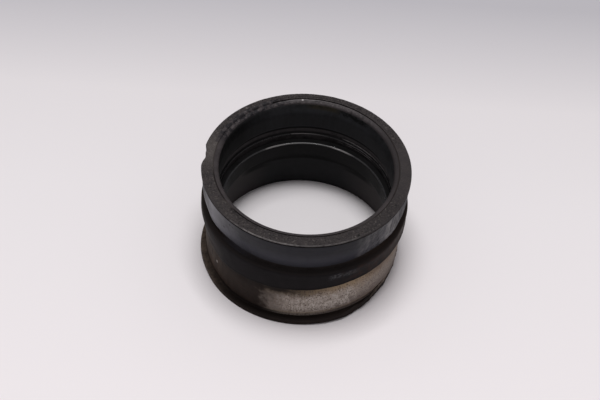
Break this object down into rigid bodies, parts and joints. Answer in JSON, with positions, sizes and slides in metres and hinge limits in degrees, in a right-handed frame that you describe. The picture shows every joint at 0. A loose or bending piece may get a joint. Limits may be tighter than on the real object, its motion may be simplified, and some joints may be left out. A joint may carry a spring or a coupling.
{
  "type": "carburetor intake boot",
  "caption": "Round rubber sleeve that joins a carburetor spigot to an engine inlet, with a socket at each end, an inner stop rib and outer seats for hose clamps.",
  "frame": {"origin": "centre of the lower end's flat face, on the sleeve's axis", "axes": "+Z along the sleeve's axis towards the rim; -Y is the front, from which the picture looks down; +X is to its right"},
  "size_m": [0.0626, 0.0628, 0.0356],
  "materials": {
    "moulded_rubber": "worn matte black"
  },
  "bodies": {
    "root": {"intake_boot": "moulded_rubber"}
  },
  "joints": []
}
